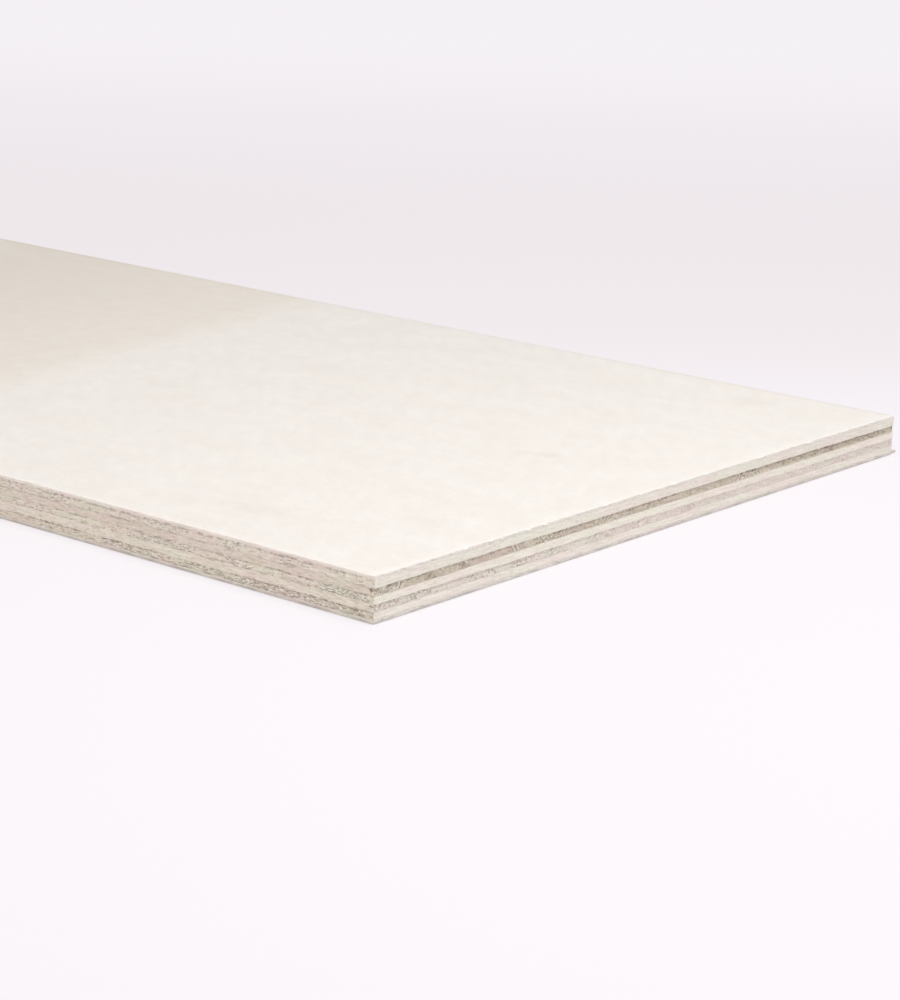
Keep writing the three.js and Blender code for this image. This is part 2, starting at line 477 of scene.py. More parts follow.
def sawnPlyTree():
    tree = bpy.data.node_groups.new("sawnPly", "GeometryNodeTree")
    tree.interface.new_socket("Geometry", in_out="INPUT", socket_type="NodeSocketGeometry")
    tree.interface.new_socket("Geometry", in_out="OUTPUT", socket_type="NodeSocketGeometry")
    for label, kind in sawnInputs.items():
        tree.interface.new_socket(label, in_out="INPUT", socket_type="NodeSocket" + kind)
    given = tree.nodes.new("NodeGroupInput").outputs
    run, rise, level, torn, gouge, wall, endGrain = [
        addNode(tree, "GeometryNodeInputNamedAttribute", {"Name": name}, data_type="FLOAT")
        for name in ("run", "rise", "level", "torn", "gouge", "wall", "endGrain")]
    point = addNode(tree, "CombineXYZ", {0: run, 1: rise, 2: given["Seed"]})

    # which way is out of the edge here, and how much of it is end grain
    place = addNode(tree, "SeparateXYZ", {0: addNode(tree, "GeometryNodeInputPosition")}).node
    faceX, faceY = [addNode(tree, "MapRange", {
        "Value": addNode(tree, "Math", {0: place.outputs[i]}, operation="ABSOLUTE"),
        "From Min": half - sawMarks["edgeFrom"], "From Max": half - sawMarks["edgeTo"]})
        for i, half in enumerate((halfLength, halfWidth))]
    outX, outY = [addNode(tree, "Math", {
        0: face, 1: addNode(tree, "Math", {0: place.outputs[i]}, operation="SIGN")}, operation="MULTIPLY")
        for i, face in enumerate((faceX, faceY))]
    outward = addNode(tree, "CombineXYZ", {0: outX, 1: outY})
    outward = addNode(tree, "VectorMath", {0: outward}, operation="NORMALIZE")
    endShare = addNode(tree, "Mix", {0: given["Grain Along"], 2: faceY, 3: faceX})

    # end grain: fuzz, pits where the saw tore, and a rut under the upper glue line
    fuzz = addNode(tree, "Math", {
        0: grainNoise(tree, point, given["Fuzz Size"], 2), 1: given["Fuzz Depth"]}, operation="MULTIPLY")
    pits = wounds(tree, leaned(tree, run, rise, level, given["Seed"]), given["Pit Size"], 3, torn)
    pitted = addNode(tree, "Math", {0: pits, 1: given["Pit Depth"], 2: fuzz}, operation="MULTIPLY_ADD")
    underSeam = addNode(tree, "MapRange", {
        "Value": level, "From Min": sawMarks["rutFrom"], "From Max": sawMarks["rutTo"]}, **soft)
    rut = grainNoise(tree, point, sawMarks["rutSize"], 5)
    rut = addNode(tree, "Math", {0: underSeam, 1: rut}, operation="MULTIPLY")
    endRelief = addNode(tree, "Math", {0: rut, 1: given["Rut Depth"], 2: pitted}, operation="MULTIPLY_ADD")
    # long grain: only shallow streaks
    longRelief = addNode(tree, "Math", {
        0: grainNoise(tree, point, sawMarks["streakSize"], 6), 1: given["Streak Depth"]},
        operation="MULTIPLY")
    relief = addNode(tree, "Mix", {0: endShare, 2: longRelief, 3: endRelief})
    # the upper rim is broken unevenly: a shallow groove at a glue line, small nicks along the top arris
    byRim = addNode(tree, "MapRange", {
        "Value": level, "From Min": sawMarks["grooveFrom"], "To Max": given["Groove Depth"]})
    nicks = spannedNoise(tree, point, sawMarks["nickSize"], 17, (0.4, 0.65), (0.0, sawMarks["nick"]), 3.0)
    wounded = addNode(tree, "Math", {0: relief, 1: gouge})
    depth = addNode(tree, "Math", {0: byRim, 1: nicks, 2: wounded}, operation="MULTIPLY_ADD")
    depth = addNode(tree, "Math", {0: depth, 1: -mm}, operation="MULTIPLY")
    inward = addNode(tree, "VectorMath", {0: outward, "Scale": depth}, operation="SCALE")

    lowStray, highStray = [
        seamWander(tree, given[end + " Seam"], given[end + " Wander"], given[end + " Sag"])
        for end in ("Low", "High")]
    stray = addNode(tree, "Mix", {0: level, 2: lowStray, 3: highStray})
    stray = addNode(tree, "Math", {0: stray, 1: mm}, operation="MULTIPLY")
    lift = addNode(tree, "CombineXYZ", {2: stray})
    shift = addNode(tree, "VectorMath", {0: inward, 1: lift})
    sawn = addNode(tree, "GeometryNodeSetPosition", {"Geometry": given["Geometry"], "Offset": shift})

    # torn fibres: thin slivers that lean off the end grain, thickest where it is torn
    thick = addNode(tree, "MapRange", {"Value": torn, "To Min": sawMarks["fewFibres"]})
    density = addNode(tree, "Math", {0: thick, 1: given["Fibres"]}, operation="MULTIPLY")
    onEnd = addNode(tree, "Math", {0: density, 1: endGrain}, operation="MULTIPLY")
    scatter = addNode(tree, "GeometryNodeDistributePointsOnFaces", {
        "Mesh": sawn, "Density": onEnd, "Seed": 7}).node
    normal = scatter.outputs["Normal"]
    sway = addNode(tree, "FunctionNodeRandomValue", {
        0: sawMarks["fibreLeast"], 1: sawMarks["fibreMost"], "Seed": 11}, data_type="FLOAT_VECTOR")
    sway = addNode(tree, "SeparateXYZ", {0: sway}).node
    along = addNode(tree, "VectorMath", {0: normal, 1: (0, 0, 1)}, operation="CROSS_PRODUCT")
    lean = addNode(tree, "VectorMath", {0: normal, "Scale": sway.outputs[0]}, operation="SCALE")
    lean = addNode(tree, "VectorMath", {0: along, 1: sway.outputs[1], 2: lean}, operation="MULTIPLY_ADD")
    lean = addNode(tree, "VectorMath", {0: lean, 1: addNode(tree, "CombineXYZ", {2: sway.outputs[2]})})
    turn = addNode(tree, "FunctionNodeAlignRotationToVector", {"Vector": lean}, axis="Z")
    sliver = addNode(tree, "GeometryNodeMeshCone", {
        "Vertices": 4, "Radius Top": 0.0, "Radius Bottom": given["Fibre Width"],
        "Depth": given["Fibre Length"]})
    sliver = addNode(tree, "GeometryNodeStoreNamedAttribute", {
        "Geometry": sliver, "Name": "fibre", "Value": 1.0}, data_type="FLOAT", domain="POINT")
    smallest, largest = sawMarks["fibreSizes"]
    size = addNode(tree, "FunctionNodeRandomValue", {2: smallest, 3: largest, "Seed": 13}, output=1,
                   data_type="FLOAT")
    fibres = addNode(tree, "GeometryNodeInstanceOnPoints", {
        "Points": scatter.outputs["Points"], "Instance": sliver, "Rotation": turn, "Scale": size})
    whole = addNode(tree, "GeometryNodeJoinGeometry", {"Geometry": [fibres, sawn]})
    real = addNode(tree, "GeometryNodeRealizeInstances", {"Geometry": whole})
    edged = addNode(tree, "GeometryNodeSetMaterial", {
        "Geometry": real, "Material": given["Edge Material"]})
    fibre = addNode(tree, "GeometryNodeInputNamedAttribute", {"Name": "fibre"}, data_type="FLOAT")
    onEdge = addNode(tree, "Math", {0: wall, 1: fibre})
    flat = addNode(tree, "Math", {0: onEdge, 1: 0.5}, operation="LESS_THAN")
    dressed = addNode(tree, "GeometryNodeSetMaterial", {
        "Geometry": edged, "Selection": flat, "Material": given["Flat Material"]})
    tree.links.new(dressed, tree.nodes.new("NodeGroupOutput").inputs["Geometry"])
    return tree


# Adds up surface heights in millimetres. A height is its pattern and how tall it is.
def heaped(tree, heights):
    total = addNode(tree, "Math", {0: heights[0][0], 1: heights[0][1]}, operation="MULTIPLY")
    for pattern, tall in heights[1:]:
        total = addNode(tree, "Math", {0: pattern, 1: tall, 2: total}, operation="MULTIPLY_ADD")
    return total


# The glue lines from the underside up: how strong, how wide and how far under the seam they show in mm,
# how much is left between the dashes, and how long the dashes are. The last is no glue, but a darker line
# along the rim of the face. On the short ends and on the long sides they show differently.
glue = {
    "colour": "#6B5743",
    "wanderLength": 5.0, "wander": 0.6,          # how a line strays up and down, in mm
    "swellLength": 1.6, "swell": (0.15, 0.85),   # its half width, as a share of the width given below
    "soakLength": 70.0, "soak": (0.55, 1.4),     # in some stretches the glue soaked in deeper
    "crisp": 0.05,                               # this near its middle a line is at its darkest
    "onEnds": [(0.05, 0.4, 0.0, 0.4, 6.0), (0.1, 0.3, 0.0, 0.3, 8.0), (0.1, 0.6, 0.6, 0.2, 6.0),
               (0.12, 0.4, 0.0, 0.3, 8.0), (0.37, 0.85, 0.55, 0.4, 6.0), (0.05, 0.3, 0.0, 0.3, 8.0),
               (0.3, 0.6, 0.7, 0.0, 9.0)],
    "onSides": [(0.38, 0.6, -0.1, 0.25, 2.2), (0.38, 1.0, 0.2, 0.08, 2.2), (0.3, 0.8, -0.35, 0.25, 2.2),
                (0.4, 0.9, 0.05, 0.1, 2.2), (0.34, 0.8, 0.0, 0.25, 2.2), (0.36, 0.85, 0.6, 0.2, 2.2),
                (0.1, 0.4, 0.6, 0.2, 5.0)],
}


# A glue line: dark, uneven, and broken into dashes. It takes in a little of both plies, so both draw it,
# from the same noise.
def glueLine(tree, run, rise, shortEnd, seamRise, line):
    strength, width, drop, whole, dash = [
        addNode(tree, "Mix", {0: shortEnd, 2: side, 3: end})
        for end, side in zip(glue["onEnds"][line], glue["onSides"][line])]
    point = addNode(tree, "CombineXYZ", {0: run, 2: seamRise})
    wander = spannedNoise(tree, point, (glue["wanderLength"], 1.0), 31, (0.0, 1.0),
                          (-glue["wander"], glue["wander"]))
    away = addNode(tree, "Math", {0: rise, 1: wander})
    away = addNode(tree, "Math", {0: away, 1: seamRise}, operation="SUBTRACT")
    away = addNode(tree, "Math", {0: addNode(tree, "Math", {0: away, 1: drop})}, operation="ABSOLUTE")
    swell = spannedNoise(tree, point, (glue["swellLength"], 1.0), 32, (0.35, 0.65), glue["swell"], 3.0)
    half = addNode(tree, "Math", {0: swell, 1: width}, operation="MULTIPLY")
    near = addNode(tree, "MapRange", {"Value": away, "From Min": half, "From Max": glue["crisp"]}, **soft)
    stretched = addNode(tree, "CombineXYZ", {
        0: addNode(tree, "Math", {0: run, 1: dash}, operation="DIVIDE"), 2: seamRise})
    shown = spannedNoise(tree, stretched, (1.0, 1.0), 33, (0.4, 0.58), (whole, 1.0), ramp="SMOOTHSTEP")
    soaked = spannedNoise(tree, point, (glue["soakLength"], 1.0), 109, (0.35, 0.65), glue["soak"])
    for share in (near, soaked, strength):
        shown = addNode(tree, "Math", {0: shown, 1: share}, operation="MULTIPLY")
    return shown


# Dry wood without varnish: matt, a little smoother or rougher by a pattern, with a relief in millimetres.
def bareWood(tree, shader, colour, height, pattern, roughness, specular, swing):
    rough = addNode(tree, "MapRange", {
        "Value": pattern, "From Min": 0.3, "From Max": 0.7,
        "To Min": roughness - swing, "To Max": roughness + swing})
    tree.links.new(colour, shader.inputs["Base Color"])
    tree.links.new(addNode(tree, "Bump", {"Height": height, "Distance": mm}), shader.inputs["Normal"])
    tree.links.new(rough, shader.inputs["Roughness"])
    shader.inputs["IOR"].default_value = 1.5
    shader.inputs["Specular IOR Level"].default_value = specular


# Bare rotary-cut poplar, sawn square. Along its fibres it is pale, with soft streaks; across them it
# drinks the light, so it is darker, speckled with open pits and with pale fibres that were torn up. The
# pits are coloured dark partly as the torn wood's own colour and partly as painted shade of the holes.
def sawnPoplar(name, look, seam, low, high):
    material, tree, shader = newMaterial(name)
    place = addNode(tree, "SeparateXYZ", {0: addNode(tree, "UVMap", uv_map="edge")}).node
    run, rise = place.outputs[0], place.outputs[1]
    point = addNode(tree, "CombineXYZ", {0: run, 1: rise, 2: look["seed"]})
    across, shortEnd, fibre, gouge, torn, level = [
        addNode(tree, "Attribute", attribute_name=label, output=2)
        for label in ("endGrain", "shortEnd", "fibre", "gouge", "torn", "level")]
    slant = addNode(tree, "Math", {0: run, 1: look["cloudSlant"], 2: rise}, operation="MULTIPLY_ADD")
    slanting = addNode(tree, "CombineXYZ", {0: run, 1: slant, 2: look["seed"]})
    fuzz = strongNoise(tree, point, look["fuzzSize"], 2)
    rougher = addNode(tree, "MapRange", {"Value": torn, "To Min": look["calm"]})
    leaning = leaned(tree, run, rise, level, look["seed"])
    pits = wounds(tree, leaning, look["pitSize"], 3, torn)
    flecks = wounds(tree, leaning, look["fleckSize"], 8, torn)
    roughFuzz, roughPits, roughFlecks = [
        addNode(tree, "Math", {0: mask, 1: rougher}, operation="MULTIPLY") for mask in (fuzz, pits, flecks)]
    cloud = strongNoise(tree, slanting, look["cloudSize"], 9)
    streaks = strongNoise(tree, point, look["grainSize"], 6)
    # short light and dark bits of grain, drawn a little coarser than they are so that they show
    lightBits, darkBits = [
        spannedNoise(tree, point, look["bitSize"], seed, (0.52, 0.66), detail=3.0, roughness=0.6,
                     ramp="SMOOTHSTEP")
        for seed in (12, 13)]
    # the pits are coloured dark just where the edge is sunk: partly the wood's own colour, partly painted
    # shade of the holes
    endGrain = coated(tree, linearColour(look["endGrain"]), [
        (cloud, look["cloud"], look["endDark"]),
        (roughFuzz, look["fuzz"], look["endDark"]),
        (roughFlecks, look["flecks"], look["torn"]),
        (roughPits, look["pits"], look["pitShade"]),
    ])
    longGrain = coated(tree, linearColour(look["longGrain"]), [
        (streaks, look["streaks"], look["longDark"]),
        (cloud, look["longCloud"], look["longDark"]),
        (lightBits, look["bits"], look["torn"]),
        (darkBits, look["bits"], look["bitDark"]),
    ])
    colour = addNode(tree, "Mix", {0: across, mixA: longGrain, mixB: endGrain}, output=mixOut,
                     data_type="RGBA")
    hue = strongNoise(tree, point, look["hueSize"], 15)
    hue = coated(tree, linearColour(look["coolTint"]), [(hue, 1.0, look["warmTint"])])
    colour = addNode(tree, "Mix", {0: 1.0, mixA: colour, mixB: hue}, output=mixOut, data_type="RGBA",
                     blend_type="MULTIPLY")
    # the edge darker towards the underside, in patches
    if "grime" in look:
        foot = addNode(tree, "MapRange", {
            "Value": rise, "From Min": look["grimeTop"], "From Max": look["grimeFull"]}, **soft)
        uneven = spannedNoise(tree, point, look["grimeSize"], 18, (0.35, 0.65), look["grimePatches"], 3.0)
        foot = addNode(tree, "Math", {0: foot, 1: uneven}, operation="MULTIPLY")
        colour = coated(tree, colour, [(foot, look["grime"], look["grimeShade"])])
    for line, height in ((seam - 1, low), (seam, high)):
        if 0 <= line < len(glue["onEnds"]):
            shown = glueLine(tree, run, rise, shortEnd, height / mm, line)
            colour = coated(tree, colour, [(shown, 1.0, glue["colour"])])
    # painted shade: a gouge is coloured darker the deeper it is, towards the colour of the pits
    hollow, lifted = [
        addNode(tree, "MapRange", {"Value": gouge, "From Min": shallow, "From Max": deep})
        for shallow, deep in (sawMarks["hollow"], sawMarks["lifted"])]
    colour = coated(tree, colour, [
        (hollow, 0.75, look["pitShade"]), (lifted, 0.8, look["torn"]), (fibre, 1.0, look["torn"])])
    # the face's arris takes the sanded colour; along the underside's arris a dark line is painted in as the
    # shadow where the sheet meets the floor
    if "sanded" in look:
        brink, inwards = (high / mm, -1) if look["faceUp"] else (0.0, 1)
        arris = addNode(tree, "MapRange", {
            "Value": rise, "From Min": brink + inwards * look["arrisHeight"], "From Max": brink})
        colour = coated(tree, colour, [(arris, look["arris"], look["arrisColourAndShadow"])])
    endHeight = heaped(tree, [(fuzz, -0.1), (pits, -0.12), (flecks, 0.08)])
    longHeight = heaped(tree, [(streaks, -0.06), (darkBits, -0.05), (lightBits, 0.03)])
    height = addNode(tree, "Mix", {0: across, 2: longHeight, 3: endHeight})
    bareWood(tree, shader, colour, height, fuzz, look["roughness"], look["specular"], swing=0.08)
    return material


# Poplar veneer sanded smooth: pale and matt, with faint long grain, fine open pores and an uneven tone.
def sandedPoplar(name, look):
    material, tree, shader = newMaterial(name)
    point = addNode(tree, "VectorMath", {
        0: addNode(tree, "TexCoord", output=3), "Scale": 1 / mm}, operation="SCALE")
    mottle = grainNoise(tree, point, look["mottleSize"], 21, detail=5.0, roughness=0.8)
    stained = 0.0
    for x, y, halfLong, halfWide, depth in look["stains"]:
        off = addNode(tree, "VectorMath", {0: point, 1: (x, y, 0)}, operation="SUBTRACT")
        off = addNode(tree, "VectorMath", {0: off, 1: (halfLong, halfWide, 1000)}, operation="DIVIDE")
        away = addNode(tree, "VectorMath", {0: off}, output=1, operation="LENGTH")
        ragged = addNode(tree, "Math", {0: mottle, 1: look["stainRagged"], 2: away},
                         operation="MULTIPLY_ADD")
        patch = addNode(tree, "MapRange", {
            "Value": ragged, "From Min": look["stainRim"], "From Max": look["stainCore"],
            "To Max": depth}, **soft)
        stained = addNode(tree, "Math", {0: stained, 1: patch}, operation="MAXIMUM")
    contour = grainNoise(tree, point, look["figureSize"], 22, 1.0)
    turns = addNode(tree, "Math", {0: contour, 1: look["figureRings"] * math.tau}, operation="MULTIPLY")
    figure = addNode(tree, "MapRange", {
        "Value": addNode(tree, "Math", {0: turns}, operation="SINE"), "From Min": -0.4, "From Max": 1.0},
        **soft)
    streaks = grainNoise(tree, point, look["streakSize"], 23, 4.0)
    pores = spots(tree, point, look["poreSize"], 24, fill=0.5)
    scratches = grainNoise(tree, point, look["scratchSize"], 25)
    # past a ragged, slanting border the wood turns warmer, slowly browner from there on, then pale again
    length = addNode(tree, "VectorMath", {0: point, 1: (1, look["warmSlant"], 0)}, output=1,
                     operation="DOT_PRODUCT")
    border = addNode(tree, "Math", {0: mottle, 1: look["warmRagged"], 2: length}, operation="MULTIPLY_ADD")
    streaky = addNode(tree, "Math", {0: contour, 1: look["paleRagged"], 2: length},
                      operation="MULTIPLY_ADD")
    palesAgain = addNode(tree, "MapRange", {
        "Value": streaky, "From Min": look["warmTo"] - look["paleOver"], "From Max": look["warmTo"]},
        **soft)
    warmth, brownness = [
        addNode(tree, "Math", {0: palesAgain, 1: addNode(tree, "MapRange", {
            "Value": border, "From Min": look["warmFrom"], "From Max": look["warmFrom"] - width},
            **soft)}, operation="MULTIPLY")
        for width in (look["warmOver"], look["brownOver"])]
    patchy = spannedNoise(tree, point, look["warmMottleSize"], 26, (0.4, 0.65), detail=5.0, roughness=0.7)
    warmMottle = addNode(tree, "Math", {0: patchy, 1: warmth}, operation="MULTIPLY")
    # faint wisps that run slanting across the grain
    turned = addNode(tree, "VectorRotate", {"Vector": point, "Angle": look["curlTurn"]},
                     rotation_type="Z_AXIS")
    curl = strongNoise(tree, turned, look["curlSize"], 27)
    colour = coated(tree, linearColour(look["sanded"]), [
        (warmth, look["warmth"], look["heartwood"]),
        (brownness, look["brownness"], look["pore"]),
        (warmMottle, look["warmMottle"], look["pore"]),
        (stained, 0.8, look["sandedDark"]),
        (mottle, look["mottle"], look["sandedDark"]),
        (figure, look["figure"], look["heartwood"]),
        (streaks, look["sandedStreaks"], look["sandedDark"]),
        (curl, look["curl"], look["sandedDark"]),
        (pores, look["pores"], look["pore"]),
    ])
    height = heaped(tree, [(streaks, -0.02), (pores, -0.03), (scratches, -0.008), (mottle, -0.05)])
    bareWood(tree, shader, colour, height, streaks, look["flatRoughness"], look["specular"], swing=0.06)
    return material


# What every ply of rotary-cut poplar shares. Each ply below then says where it differs.
poplar = {
    "longGrain": "#EDE4D9", "longDark": "#CDBEAD", "endGrain": "#E7DDD0", "endDark": "#A8967F",
    # pitShade colours the pits and gouges: partly the torn wood's own colour, partly painted shade
    "torn": "#FAF5EC", "pitShade": "#86745E",
    "cloudSize": (9.0, 1.4), "cloud": 0.12, "longCloud": 0.1, "cloudSlant": 0.25,
    "hueSize": (16.0, 7.0), "coolTint": "#FCFFFC", "warmTint": "#FFFAFD",
    "fuzzSize": (1.0, 0.6), "fuzz": 0.22, "fuzzDepth": 0.12,      # sizes and depths in mm
    "calm": 0.3,                                 # how much of the fuzz stays where nothing is torn
    "pitSize": (1.0, 0.6), "pits": 0.6, "pitDepth": 0.25,
    "fleckSize": (1.0, 0.5), "flecks": 0.6,
    "tornLevel": 0.5, "tornAt": [],              # torn stretches: run, half length in mm, how badly
    "grainSize": (9.0, 0.5), "streaks": 0.22, "streakDepth": 0.08,
    "bitSize": (2.4, 0.4), "bits": 0.15, "bitDark": "#B5A48F",
    "rutDepth": 0.0, "grooveDepth": 0.06, "gouges": [],
    "fibres": 0.25, "fibreLength": 0.7, "fibreWidth": 0.06,       # how many on a square millimetre
    "roughness": 0.74, "specular": 0.35,
}
# A crossband shows its end grain on the long sides, where the saw drew the wounds out into dashes.
crossband = {
    **poplar, "slot": "cross_grain", "grainAlong": False,
    "fuzzSize": (3.2, 0.45), "fuzz": 0.32, "calm": 0.8, "pitSize": (1.4, 0.45), "pits": 0.42,
    "pitDepth": 0.14, "fleckSize": (1.3, 0.45), "flecks": 1.0, "cloudSize": (20.0, 1.2), "cloud": 0.1,
    "streaks": 0.28, "bits": 0.2,
}
longPly = {**poplar, "slot": "long_grain", "grainAlong": True, "fuzzSize": (2.4, 0.5)}
# The two outer veneers are sanded. Their patterns and stretches are in millimetres.
sandedVeneer = {
    **poplar, "grainAlong": True, "fibres": 0.06, "specular": 0.3, "arrisHeight": 0.2,
    "mottleSize": (26.0, 20.0), "poreSize": (2.6, 0.2), "scratchSize": (50.0, 0.22),
    "curlSize": (5.0, 15.0), "curlTurn": -0.67,
    "stainRagged": 5.0, "stainRim": 3.9, "stainCore": 2.8,       # in half lengths of the stain
    # the warm stretch: each veneer says where it begins and ends, and these say how softly
    "warmth": 0.5, "warmSlant": 0.15, "warmRagged": 70.0, "warmOver": 34.0, "brownOver": 190.0,
    "paleRagged": 240.0, "paleOver": 120.0, "warmMottleSize": (8.0, 12.0),
}
faceVeneer = {
    **sandedVeneer, "slot": "sanded_face", "faceUp": True, "seed": 7.3,
    "longGrain": "#F2EADF", "endGrain": "#E9E4DD", "tornLevel": 0.1, "fuzzDepth": 0.06, "pitDepth": 0.1,
    "fuzz": 0.1, "pits": 0.2, "grooveDepth": 0.12,
    "gouges": [(643.0, 14.7, 1.2, 0.4, 0.0, -0.3), (655.5, 14.8, 1.6, 0.4, 0.0, -0.35),
               (674.5, 14.7, 1.2, 0.4, 0.0, -0.35), (683.0, 14.8, 1.5, 0.4, 0.0, -0.35),
               (716.0, 14.8, 2.4, 0.4, 0.0, -0.3), (755.0, 14.7, 1.8, 0.35, 0.0, -0.3),
               (808.0, 14.8, 3.0, 0.4, 0.0, -0.3), (839.0, 14.8, 2.2, 0.35, 0.0, -0.3)],
    "arris": 1.0, "arrisColourAndShadow": "#F9F4F0",
    "sanded": "#FAF5F0", "sandedDark": "#E8E1D9", "heartwood": "#EEE0CD", "pore": "#D7C9B5",
    "mottle": 0.85, "figure": 0.04, "figureSize": (160.0, 34.0), "figureRings": 5,
    # soft darker patches: x, y, half length, half width in mm, and how dark
    "stains": [(225, -121, 15, 6, 0.6), (214, -112, 6, 6, 0.4), (203, -130, 6, 9, 0.3),
               (272, -93, 7, 5, 0.5), (247, 4, 5, 4, 1.0), (239, 0, 4, 5, 0.6), (249, 128, 8, 8, 0.5),
               (84, -15, 9, 6, 0.4), (108, -48, 20, 12, 0.2), (100, 50, 12, 8, 0.3),
               (140, 20, 8, 10, 0.25), (175, -50, 10, 8, 0.2), (160, 90, 12, 8, 0.2),
               (-5, 122, 12, 8, 0.3), (-60, 96, 12, 8, 0.3), (-190, -70, 26, 14, 0.4),
               (-240, 90, 16, 10, 0.3)],
    "sandedStreaks": 0.08, "streakSize": (40.0, 1.8), "pores": 0.1, "curl": 0.22,
    "warmFrom": 82.0, "warmTo": -20.0, "brownness": 0.4, "warmMottle": 0.25, "flatRoughness": 0.62,
}
upperCrossband = {
    **crossband, "seed": 6.1, "longGrain": "#EBE6DC", "endGrain": "#F0E5D6", "tornLevel": 0.5,
    "tornAt": [(446, 8, 0.5), (464, 9, 0.6), (512, 10, 0.4), (543, 6, 0.5), (567, 7, 0.7)],
}
upperLongPly = {
    **longPly, "seed": 5.7, "longGrain": "#E3D7C8", "endGrain": "#D1C6B6", "endDark": "#8D7A64",
    "rutDepth": 0.2, "fibres": 0.3, "pitSize": (0.8, 1.2), "fleckSize": (0.7, 1.0), "flecks": 0.7,
    "cloud": 0.25, "streaks": 0.35, "bits": 0.5, "tornLevel": 0.8,
    "tornAt": [(606, 9, 0.7), (625, 6, 0.5), (640, 5, 0.6), (686, 9, 0.85), (715, 12, 0.5),
               (745, 9, 0.5), (800, 12, 0.7), (822, 9, 0.5), (850, 10, 0.6), (884, 14, 0.6)],
    "gouges": [(598.3, 10.6, 0.9, 0.65, 0.0, 0.6), (598.5, 9.8, 0.5, 0.7, 0.0, 0.3),
               (599.7, 10.6, 0.7, 0.6, 0.0, 0.3),
               (608.4, 10.1, 0.42, 1.2, 0.5, 0.42), (609.3, 10.1, 0.42, 1.2, 0.5, -0.22),
               (610.2, 10.1, 0.42, 1.2, 0.5, 0.45), (611.1, 10.0, 0.42, 1.2, 0.5, -0.22),
               (612.0, 10.0, 0.42, 1.1, 0.5, 0.42), (612.9, 9.9, 0.42, 1.0, 0.5, -0.2),
               (666.2, 10.1, 0.45, 1.2, -0.6, 0.42), (667.2, 10.0, 0.45, 1.3, -0.6, -0.25),
               (668.2, 10.0, 0.45, 1.2, -0.6, 0.45), (669.2, 9.9, 0.45, 1.3, -0.6, -0.25),
               (670.2, 10.0, 0.45, 1.1, -0.6, 0.4), (862.0, 10.1, 80.0, 1.4, 0.0, 0.32)],
}
centreCrossband = {
    **crossband, "seed": 4.9, "longGrain": "#F0EADF", "endGrain": "#F3E9D8", "tornLevel": 0.7,
    "tornAt": [(432, 9, 0.6), (452, 8, 0.6), (505, 9, 0.7), (519, 9, 0.8), (545, 9, 0.6),
               (572, 5, 0.6), (588, 12, 0.9)],
    "gouges": [(598.8, 7.4, 0.8, 0.9, 0.0, 0.22)],
}
lowerLongPly = {
    **longPly, "seed": 3.3, "longGrain": "#EDE3D4", "endGrain": "#E1D8CE", "endDark": "#A8998A",
    "pitSize": (0.9, 1.0), "pits": 0.45, "fleckSize": (0.8, 0.8), "flecks": 0.8,
    "cloud": 0.16, "streaks": 0.3, "bits": 0.42, "tornLevel": 0.5,
    "tornAt": [(606, 9, 0.65), (622, 8, 0.6), (652, 6, 0.65), (671, 5, 0.75), (684, 9, 0.5),
               (715, 10, 0.4), (735, 4, 0.75), (763, 7, 0.4)],
    "gouges": [(645.0, 5.6, 95.0, 0.9, 0.0, 0.23), (598.5, 5.0, 0.9, 1.0, 0.0, 0.26)],
}
lowerCrossband = {
    **crossband, "seed": 2.7, "longGrain": "#EEE8DF", "endGrain": "#ECE0CF",
    "pits": 0.46, "pitDepth": 0.2, "fibres": 0.35, "tornLevel": 0.9,
    "tornAt": [(430, 12, 0.4), (462, 10, 0.4), (500, 18, 0.6), (530, 12, 0.7), (560, 22, 0.85),
               (585, 12, 0.8)],
    "gouges": [(592.5, 2.9, 2.4, 0.35, 0.3, 0.4), (595.3, 1.9, 1.6, 0.4, 0.0, 0.36),
               (589.0, 2.1, 1.2, 0.35, 0.0, -0.2), (598.6, 2.5, 1.0, 1.1, 0.0, 0.3)],
}
backVeneer = {
    **sandedVeneer, "slot": "sanded_back", "faceUp": False, "seed": 1.9,
    "longGrain": "#E9E1D7", "endGrain": "#E7E1DB", "tornLevel": 0.2, "fuzzDepth": 0.08, "pits": 0.35,
    # the edge darkens towards the underside: how strong, the heights in mm where it begins and is full, and
    # its patches
    "grime": 0.27, "grimeTop": 1.15, "grimeFull": 0.65, "grimeSize": (9.0, 3.0),
    "grimePatches": (0.2, 1.6), "grimeShade": "#8F8780",
    # painted shadow: a dark line along the underside's arris, where the edge meets the floor
    "arris": 0.5, "arrisColourAndShadow": "#6E665F",
    "sanded": "#E3DAD0", "sandedDark": "#D3C7B9", "heartwood": "#CDBCA7", "pore": "#B8A794",
    "mottle": 0.7, "figure": 0.14, "figureSize": (190.0, 30.0), "figureRings": 6,
    "stains": [(140, 60, 40, 20, 0.5), (-90, -50, 30, 18, 0.6), (-210, 40, 18, 10, 0.5)],
    "sandedStreaks": 0.35, "streakSize": (70.0, 1.4), "pores": 0.3, "curl": 0.1,
    "warmFrom": -60.0, "warmTo": -80.0, "brownness": 0.2, "warmMottle": 0.3, "flatRoughness": 0.68,
}
layUp = {
    "back_veneer": backVeneer,
    "lower_crossband": lowerCrossband,
    "lower_long_ply": lowerLongPly,
    "centre_crossband": centreCrossband,
    "upper_long_ply": upperLongPly,
    "upper_crossband": upperCrossband,
    "face_veneer": faceVeneer,
}
# How unevenly the glue lines run, from the underside up: the seed, mm of noise, of which a seam strays
# about a sixth each way, and how much lower it sits on the whole.
seams = [(0.0, 0.0, 0.0), (1.0, 0.8, 0.0), (62.6, 0.6, -0.19), (256.5, 0.88, -0.17), (46.5, 0.83, -0.18),
         (25.5, 0.65, -0.24), (6.0, 0.6, 0.0), (0.0, 0.0, 0.0)]


